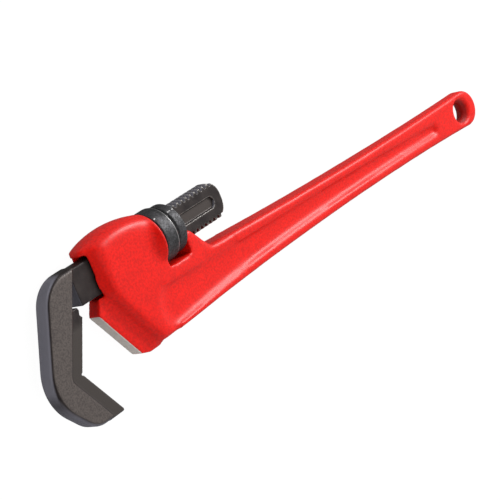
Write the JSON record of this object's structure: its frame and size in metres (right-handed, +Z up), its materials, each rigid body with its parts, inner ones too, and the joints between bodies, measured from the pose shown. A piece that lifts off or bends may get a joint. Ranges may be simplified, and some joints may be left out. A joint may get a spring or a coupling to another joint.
{
  "type": "hex pipe wrench",
  "caption": "Heavy wrench with a long red cast handle, an adjustable hook jaw with smooth angled faces, a turning nut and a screw shank.",
  "frame": {"origin": "centre of the hang hole at the end of the handle, at half the tool's thickness", "axes": "+X along the jaw screw towards the hang hole, +Y from the handle to the jaw screw, +Z up across the thickness, with the tool lying on its side"},
  "size_m": [0.5016, 0.1082, 0.0404],
  "materials": {
    "casting": "glossy",
    "hook_steel": "satin",
    "nut_steel": "satin",
    "spring_steel": "satin"
  },
  "bodies": {
    "frame": {"handle_casting": "casting", "flat_spring": "spring_steel", "coil_spring": "spring_steel", "spring_rivet": "spring_steel"},
    "hook": {"hook_jaw": "hook_steel"},
    "nut": {"adjusting_nut": "nut_steel"}
  },
  "joints": [
    {"name": "nut_spin", "type": "hinge", "parent": "frame", "child": "nut", "pos_m": [-0.348, 0.0488, 0], "axis": [1, 0, 0], "range_deg": [-710, 2170]},
    {"name": "jaw_slide", "type": "slide", "parent": "frame", "child": "hook", "axis": [-1, 0, 0], "range_m": [-0.00875, 0.027]}
  ],
  "couplings": [
    {"joint": "nut_spin", "follows": "jaw_slide", "rad_per_m": 1396.3}
  ]
}
